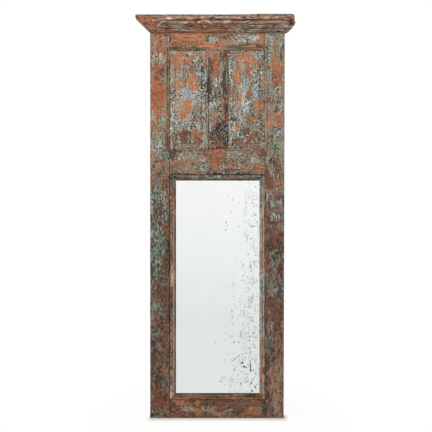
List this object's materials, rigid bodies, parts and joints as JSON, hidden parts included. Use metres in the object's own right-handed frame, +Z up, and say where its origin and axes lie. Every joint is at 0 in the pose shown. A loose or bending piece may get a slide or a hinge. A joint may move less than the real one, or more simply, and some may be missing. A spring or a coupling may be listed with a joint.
{
  "type": "mirror",
  "caption": "Tall mirror in a worn joined frame, with raised panels above the glass, a moulded cornice and ring hangers behind.",
  "frame": {"origin": "on the floor, halfway along the frame's width and through its thickness", "axes": "+Z up, +X to the right of someone facing the glass, -Y the way the glass faces, +Y into the wall"},
  "size_m": [0.7615, 0.0966, 1.922],
  "materials": {
    "worn_paint": "many worn coats of oil paint on softwood, chipped through to the timber",
    "bare_timber": "old dry softwood, unpainted",
    "silvered_glass": "old silvered glass with dark spots down one side",
    "hardboard": "brown pressed board, matt",
    "iron_nails": "rusted iron",
    "zinc_steel": "zinc-plated steel, dull"
  },
  "bodies": {
    "frame": {"left_stile": "worn_paint", "right_stile": "worn_paint", "top_rail": "worn_paint", "middle_rail": "worn_paint", "bottom_rail": "worn_paint", "muntin": "worn_paint", "left_panel": "worn_paint", "right_panel": "worn_paint", "cornice_front": "worn_paint", "cornice_left_block": "worn_paint", "cornice_right_return": "worn_paint", "cornice_cap": "worn_paint", "moulding_top": "worn_paint", "moulding_bottom": "worn_paint", "moulding_left": "worn_paint", "moulding_right": "worn_paint", "tenon_pegs": "bare_timber", "tenon_wedges": "bare_timber", "fillet_top": "bare_timber", "fillet_bottom": "bare_timber", "fillet_left": "bare_timber", "fillet_right": "bare_timber", "mirror_glass": "silvered_glass", "backing_board": "hardboard", "moulding_nails": "iron_nails", "fillet_nails": "iron_nails", "cornice_nails": "iron_nails", "left_hanger_strap": "zinc_steel", "right_hanger_strap": "zinc_steel", "hanger_screws": "zinc_steel"},
    "left_ring": {"left_hanger_ring": "zinc_steel"},
    "right_ring": {"right_hanger_ring": "zinc_steel"}
  },
  "joints": [
    {"name": "left_ring_hinge", "type": "hinge", "parent": "frame", "child": "left_ring", "pos_m": [-0.276, 0.02455, 1.545], "axis": [1, 0, 0], "range_deg": [0, 178]},
    {"name": "right_ring_hinge", "type": "hinge", "parent": "frame", "child": "right_ring", "pos_m": [0.2745, 0.02455, 1.545], "axis": [1, 0, 0], "range_deg": [0, 178]}
  ]
}
